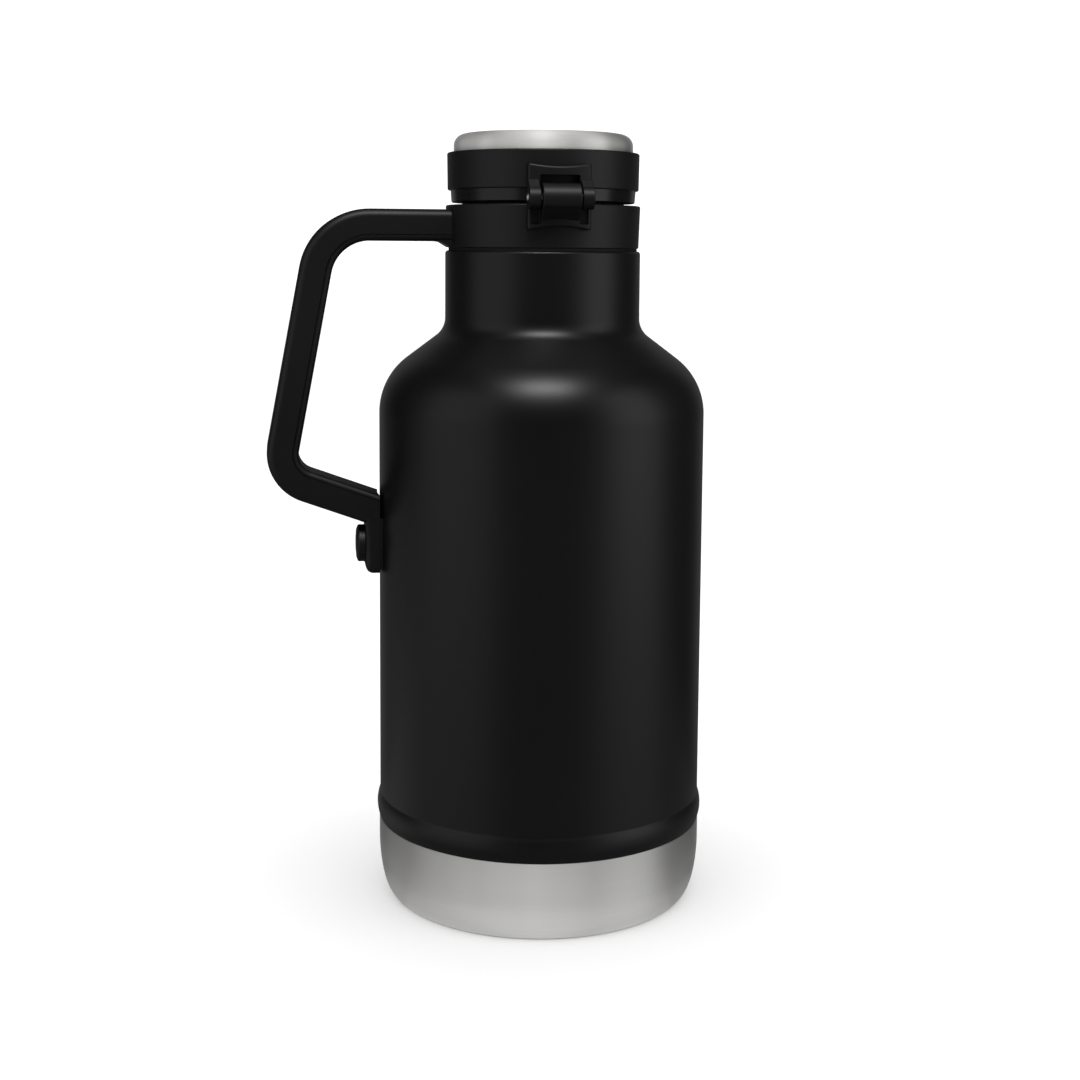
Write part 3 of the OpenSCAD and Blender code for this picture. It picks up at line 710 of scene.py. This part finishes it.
def make_skirt():
    """The lid's smooth inner part: the skirt under the ring and the tube that carries the seal."""
    tube_out = 29.4
    tube_in = 28.2
    low_z = low("lid_skirt").z
    skirt_z = high("lid_gasket").z
    outline = rounded([
        (tube_in, low_z), (tube_out, low_z), (tube_out, skirt_z), (35.3, skirt_z, 0.5),
        (35.65, LID_LOW_Z), (tube_in, LID_LOW_Z)])
    obj = lathe("skirt", outline)
    return finish_piece(obj, "lid", GLOSS, "skirt_black", "lid_skirt")


def make_seal():
    """The lid's silicone seal, with three soft lips."""
    inner = 29.45
    base_z = low("lid_gasket").z
    top_z = high("lid_gasket").z
    lip_count, first_lip, lip_pitch = 3, 1.1, 1.15
    lips = [(30.25, base_z), (31.0, base_z + 0.45, 0.3)]
    for i in range(lip_count):
        z = base_z + first_lip + lip_pitch * i
        lips += [(31.1, z - 0.35, 0.15), (31.6, z, 0.2), (31.1, z + 0.35, 0.15)]
    outline = rounded([(inner, base_z)] + lips + [(31.2, top_z, 0.2), (inner, top_z)], 3)
    obj = lathe("lid_seal", outline)
    return finish_piece(obj, "lid", RUBBER, "seal_rubber", "lid_gasket")


def make_liner():
    """The steel disc that faces the drink, dished a little at its centre."""
    wall = 0.7
    radius = high("lid_liner").x
    base_z = low("lid_liner").z
    top_z = high("lid_liner").z
    corner = 3
    middle = (radius - corner, base_z + corner)
    dish = [(0, base_z + 1.2), (16, base_z + 1.2), (18.5, base_z + 0.9), (21, base_z)]
    inside = arc(middle, corner - wall, 0, -90, 8)
    inside += [(21, base_z + wall), (18.5, base_z + wall + 0.9)]
    inside += [(16, base_z + wall + 1.2), (0, base_z + wall + 1.2)]
    outline = dish + arc(middle, corner, -90, 0, 10)
    outline += [(radius, top_z), (radius - wall, top_z)] + inside
    obj = lathe("liner_disc", outline)
    return finish_piece(obj, "lid", INNER_STEEL, "inner_steel", "lid_liner", sharp=30)


# ----------------------------------------------------------------------------------- the latch
OPEN_TURN = Matrix.Rotation(radians(150), 4, "X")
BAIL_OFFSET = Vector((0, -1.0, -5.4))
BAIL = LEVER + OPEN_TURN @ BAIL_OFFSET
WIRE_R = 1.1


def make_lever():
    """The latch lever: two cheeks and a web bent from one sheet, with a curled finger end."""
    half_w, sheet, web_y, web_end = 8.2, 1.2, 4.2, -21
    outline = arc((0, 0), 3.3, 19.5, 169.5, 14) + arc(BAIL_OFFSET.yz, 2.8, 190.3, 221.1, 4)
    outline += [(3.5, web_end), (web_y + sheet, web_end), (web_y + sheet, -3)]
    web = [(web_y, -3), (web_y + sheet, -3), (web_y + sheet, web_end)]
    web += [(web_y + 2.2, -25), (web_y + 4.6, -30), (web_y + 3.6, -30.6)]
    web += [(web_y + 1, -25.4), (web_y, -21.4)]
    cheeks = [prism("cheek", "x", outline, *sorted((side * half_w, side * (half_w - sheet))), 0.2)
              for side in (-1, 1)]
    lever = prism("latch_lever_pressing", "x", web, -half_w, half_w, 0.25)
    combine(lever, cheeks)
    holes = [rod("hole", 1.3, -20, 20, 0, 0, 0.1), rod("hole", 1.16, -20, 20, *BAIL_OFFSET.yz, 0.1)]
    combine(lever, holes, "DIFFERENCE")
    lever.data.transform(Matrix.Translation(LEVER * MM) @ OPEN_TURN)
    return finish_piece(lever, "latch_lever", LATCH_STEEL, "latch_steel", "latch_lever")


def make_bail():
    """The bail: one wire bent from its left pivot, up, over the bar and down to its right pivot."""
    leg_x, pivot_x, length, tilt, wire_sides = 10.6, 6.4, 32.0, -2.0, 24
    corners = [(-pivot_x, 0), (-leg_x, 0, 2.2), (-leg_x, length, 3.2)]
    corners += [(leg_x, length, 3.2), (leg_x, 0, 2.2), (pivot_x, 0)]
    path = [Vector(p) for p in rounded(corners, 12)]
    rings = []
    for i, point in enumerate(path):
        ahead = (path[min(i + 1, len(path) - 1)] - path[max(i - 1, 0)]).normalized()
        side = Vector((-ahead.y, ahead.x))
        ring = []
        for k in range(wire_sides):
            angle = 2 * pi * k / wire_sides
            spot = point + side * (WIRE_R * cos(angle))
            ring.append((spot.x, WIRE_R * sin(angle), spot.y))
        rings.append(ring)
    bail = loft("latch_bail_wire", rings)
    bail.data.transform(Matrix.Translation(BAIL * MM) @ Matrix.Rotation(radians(tilt), 4, "X"))
    return finish_piece(bail, "latch_bail", WIRE_STEEL, "latch_steel", "latch_bail")


# ------------------------------------------------------------------------------- carried nodes
CARRIED = {
    "inner_vessel": INNER_STEEL, "jacket_bottom": INNER_STEEL, "getter": PIN_STEEL,
    "vacuum_plug": PIN_STEEL, "collar_gasket": RUBBER, "handle_pad": RUBBER,
    "handle_stud": PIN_STEEL, "handle_screw": PIN_STEEL, "latch_pin": PIN_STEEL,
    "lid_insulation": FOAM, "lid_screws": PIN_STEEL, "lid_catch": LATCH_STEEL,
    "catch_screws": PIN_STEEL, "hinge_pin": PIN_STEEL,
}


def finish_carried():
    """Gives the CAD nodes that aren't drawn again their materials."""
    for node, material in CARRIED.items():
        for slot in frame["nodes"][node].material_slots:
            slot.material = material


# ------------------------------------------------------------------------ stage, light, camera
# angles are degrees, VIEW_FAR and VIEW_HIGH millimetres
VIEW_TURN = -9
VIEW_FAR = 651.2
VIEW_HIGH = 254.0
VIEW_DOWN = 6.308
VIEW_ROLL = 0.425
VIEW_PAN = 0.045
LENS = 55.73
SHIFT_Y = -0.1


def look_from(turn, far, height, down, roll=0):
    """A place and aim, turned about Z from -Y, a distance out and at a height, tipped down."""
    aim = Matrix.Rotation(radians(turn), 4, "Z")
    spot = aim @ Vector((0, -far, 0)) + Vector((0, 0, height))
    tip = Matrix.Rotation(radians(90 - down), 4, "X") @ Matrix.Rotation(radians(roll), 4, "Z")
    return Matrix.Translation(spot * MM) @ aim @ tip


def make_camera():
    """The camera, a little turned and high, tipped down on the object."""
    data = bpy.data.cameras.new("camera")
    data.lens = LENS
    data.sensor_width = 36
    data.shift_y = SHIFT_Y
    camera = bpy.data.objects.new("camera", data)
    aim = look_from(VIEW_TURN, VIEW_FAR, VIEW_HIGH, VIEW_DOWN, VIEW_ROLL)
    camera.matrix_world = aim @ Matrix.Rotation(radians(VIEW_PAN), 4, "Y")
    bpy.context.scene.collection.objects.link(camera)
    bpy.context.scene.camera = camera


def softbox(name, turn, far, height, down, size, radiance, receivers=None):
    """A rectangular area light, turned from the view and aimed back, set by its face's brightness."""
    data = bpy.data.lights.new(name, "AREA")
    data.shape = "RECTANGLE"
    data.size, data.size_y = size[0] * MM, size[1] * MM
    data.energy = radiance * pi * data.size * data.size_y
    light = bpy.data.objects.new(name, data)
    light.matrix_world = look_from(VIEW_TURN + turn, far, height, down)
    light.visible_camera = False
    if receivers:
        light.light_linking.receiver_collection = receivers
    bpy.context.scene.collection.objects.link(light)


def gather(name, *materials):
    """A collection of the pieces that wear one of the materials, for lights of their own."""
    group = bpy.data.collections.new(name)
    for obj in bpy.context.scene.objects:
        if obj.type == "MESH" and set(materials) & set(obj.data.materials):
            group.objects.link(obj)
    return group


def make_world():
    """White all round, but dim in reflections, so that the softboxes shape them."""
    bright_strength, dim_strength = 1.25, 0.04
    world = bpy.data.worlds.new("studio")
    bpy.context.scene.world = world
    world.use_nodes = True
    tree = world.node_tree
    tree.nodes.clear()
    rays = tree.nodes.new("ShaderNodeLightPath")
    bright = tree.nodes.new("ShaderNodeBackground")
    bright.inputs["Color"].default_value = (1, 1, 1, 1)
    bright.inputs["Strength"].default_value = bright_strength
    dim = tree.nodes.new("ShaderNodeBackground")
    dim.inputs["Color"].default_value = (1, 1, 1, 1)
    dim.inputs["Strength"].default_value = dim_strength
    mix = tree.nodes.new("ShaderNodeMixShader")
    out = tree.nodes.new("ShaderNodeOutputWorld")
    tree.links.new(rays.outputs["Is Glossy Ray"], mix.inputs["Fac"])
    tree.links.new(bright.outputs[0], mix.inputs[1])
    tree.links.new(dim.outputs[0], mix.inputs[2])
    tree.links.new(mix.outputs[0], out.inputs["Surface"])


def make_floor():
    """A plain pale floor, left out of reflections as in a cut-out studio picture."""
    floor_r = 6000
    bm = bmesh.new()
    bmesh.ops.create_circle(bm, cap_ends=True, radius=floor_r, segments=64)
    floor = new_object("floor", bm)
    s = Shader("floor_paint", Specular_IOR_Level=0.1, Roughness=0.9)
    s.connect("Base Color", s.blend(s.noise(3, 2), (0.90, 0.90, 0.90), (0.92, 0.92, 0.92)))
    floor.data.materials.append(s.material)
    floor.visible_glossy = False


def light_all():
    """The softboxes that light every piece, and one that lights only the black ones."""
    dark = gather("dark", POWDER, MOULDED, GLOSS, RUBBER)
    softbox("left_box", -60, 1200, 400, 0, (1300, 1700), 0.19)
    softbox("left_high", -58, 1200, 620, 0, (1200, 1300), 0.24)
    softbox("left_low", -112, 1200, -300, 0, (800, 600), 0.15)
    softbox("right_box", 64, 1200, 400, 0, (1100, 1700), 0.22)
    softbox("right_high", 68, 1200, 620, 0, (800, 1300), 0.65)
    softbox("front_box", 3, 740, 1390, 58, (640, 400), 12, dark)
    softbox("top_box", 0, 0, 1700, 90, (1500, 1500), 0.12)
    softbox("back_left", -158, 1200, 250, 0, (700, 1200), 0.16)
    softbox("back_right", 158, 1200, 250, 0, (700, 1200), 0.15)
    softbox("floor_glow", 0, 700, 0.01, -90, (1800, 1600), 0.08)


def light_steel():
    """The softboxes that light only bare steel: broad ones, steps before its foot, and narrow bands."""
    steel = gather("steel", BASE_STEEL, CAP_STEEL, INNER_STEEL, LATCH_STEEL, WIRE_STEEL, PIN_STEEL)
    softbox("steel_front", 0, 1200, 500, 0, (1700, 1700), 0.72, steel)
    softbox("steel_left", -70, 1200, 500, 0, (1100, 1700), 0.10, steel)
    softbox("steel_right", 70, 1200, 500, 0, (1100, 1700), 0.10, steel)
    softbox("steel_top", 0, 200, 1500, 90, (1700, 1700), 0.80, steel)
    softbox("steel_back", 180, 1200, 400, 0, (1000, 1500), 0.45, steel)
    for reach in (60, 30, 0, -30, -60):
        softbox("steel_foot", 0, (300 - reach) / 2, 0.02, -90, (300, 300 + reach), 0.13, steel)
    for turn in (-49, -2, 43):
        softbox("steel_band", turn, 1190, 500, 0, (120, 1700), 0.45, steel)


def light_cap():
    """The softboxes that light only the cap."""
    cap = gather("cap", CAP_STEEL)
    softbox("cap_floor", 0, 300, 0.01, -90, (2400, 2400), 0.50, cap)
    softbox("cap_left", -105, 1200, 500, 0, (1500, 1700), 0.36, cap)
    softbox("cap_right", 100, 1200, 500, 0, (1300, 1700), 0.22, cap)
    softbox("cap_spot", -2, 740, 1390, 58, (520, 400), 2.5, cap)


bpy.context.scene.view_settings.view_transform = "Standard"
make_camera()
make_world()
make_floor()
make_shell()
make_base()
make_collar_handle()
make_screw_cap()
make_lid_ring()
make_cap()
make_skirt()
make_seal()
make_liner()
make_lever()
make_bail()
finish_carried()
light_all()
light_steel()
light_cap()
